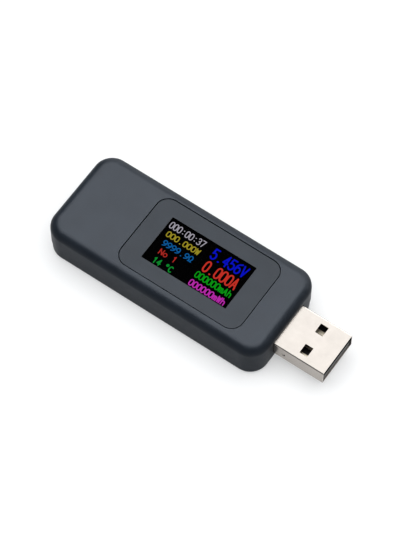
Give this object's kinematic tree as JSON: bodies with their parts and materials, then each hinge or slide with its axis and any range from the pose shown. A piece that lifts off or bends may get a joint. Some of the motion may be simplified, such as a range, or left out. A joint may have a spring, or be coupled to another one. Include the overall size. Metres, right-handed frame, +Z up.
{
  "type": "usb power meter",
  "caption": "Plug-through USB power meter: a slim two-part casing with a flat colour display, a USB-A plug at one end, a USB-A socket at the other and a push key in one long side.",
  "frame": {"origin": "centre of the whole meter's footprint, plug included, on its flat base", "axes": "+X along the meter from the socket to the plug, +Z up out of the display, +Y to the side with the key"},
  "size_m": [0.0728, 0.0256, 0.0114],
  "materials": {
    "shell_plastic": "satin dark grey moulded casing",
    "panel_plastic": "satin slate grey face panel",
    "key_plastic": "satin dark grey key",
    "window": "clear tinted window",
    "display_glass": "thin display glass",
    "polarizer_film": "dark polarizing film",
    "foam": "black sealing foam",
    "adhesive": "double-sided adhesive film",
    "diffuser_plastic": "white light guide",
    "holder_plastic": "white moulded holder",
    "flex_film": "amber flexible film",
    "circuit_board": "green solder mask on glass laminate",
    "connector_steel": "nickel-plated sheet steel",
    "connector_insulator": "black moulded insulator",
    "socket_plastic": "white moulded insulator",
    "contact_gold": "gold-flashed contact",
    "chip_epoxy": "black moulding compound",
    "ferrite": "dark grey ferrite",
    "ceramic": "tan capacitor ceramic",
    "switch_steel": "thin stamped steel",
    "shunt_alloy": "bare resistance alloy",
    "crystal_can": "metal lid"
  },
  "bodies": {
    "meter": {"top_cover": "shell_plastic", "bottom_case": "shell_plastic", "face_panel": "panel_plastic", "panel_adhesive": "adhesive", "display_window": "window", "display_gasket": "foam", "display_polarizer": "polarizer_film", "display_front_glass": "display_glass", "display_rear_glass": "display_glass", "display_driver": "chip_epoxy", "display_backlight": "diffuser_plastic", "display_flex": "flex_film", "display_holder": "holder_plastic", "main_board": "circuit_board", "plug_shell": "connector_steel", "plug_insulator": "connector_insulator", "plug_contacts": "contact_gold", "socket_shell": "connector_steel", "socket_insulator": "socket_plastic", "socket_contacts": "contact_gold", "switch_body": "chip_epoxy", "switch_dome": "switch_steel", "switch_cover": "switch_steel", "shunt_resistor": "shunt_alloy", "inductor": "ferrite", "controller_chip": "chip_epoxy", "memory_chip": "chip_epoxy", "crystal": "crystal_can", "thermistor": "chip_epoxy", "protection_diode": "chip_epoxy", "voltage_regulator": "chip_epoxy", "bulk_capacitor": "chip_epoxy", "top_capacitors": "ceramic", "under_capacitors": "ceramic", "top_resistors": "chip_epoxy", "under_resistors": "chip_epoxy"},
    "key": {"key_cap": "key_plastic", "switch_plunger": "key_plastic"}
  },
  "joints": [
    {"name": "key_press", "type": "slide", "parent": "meter", "child": "key", "axis": [0, -1, 0], "range_m": [0, 0.00025], "stiffness_N_per_m": 800}
  ]
}
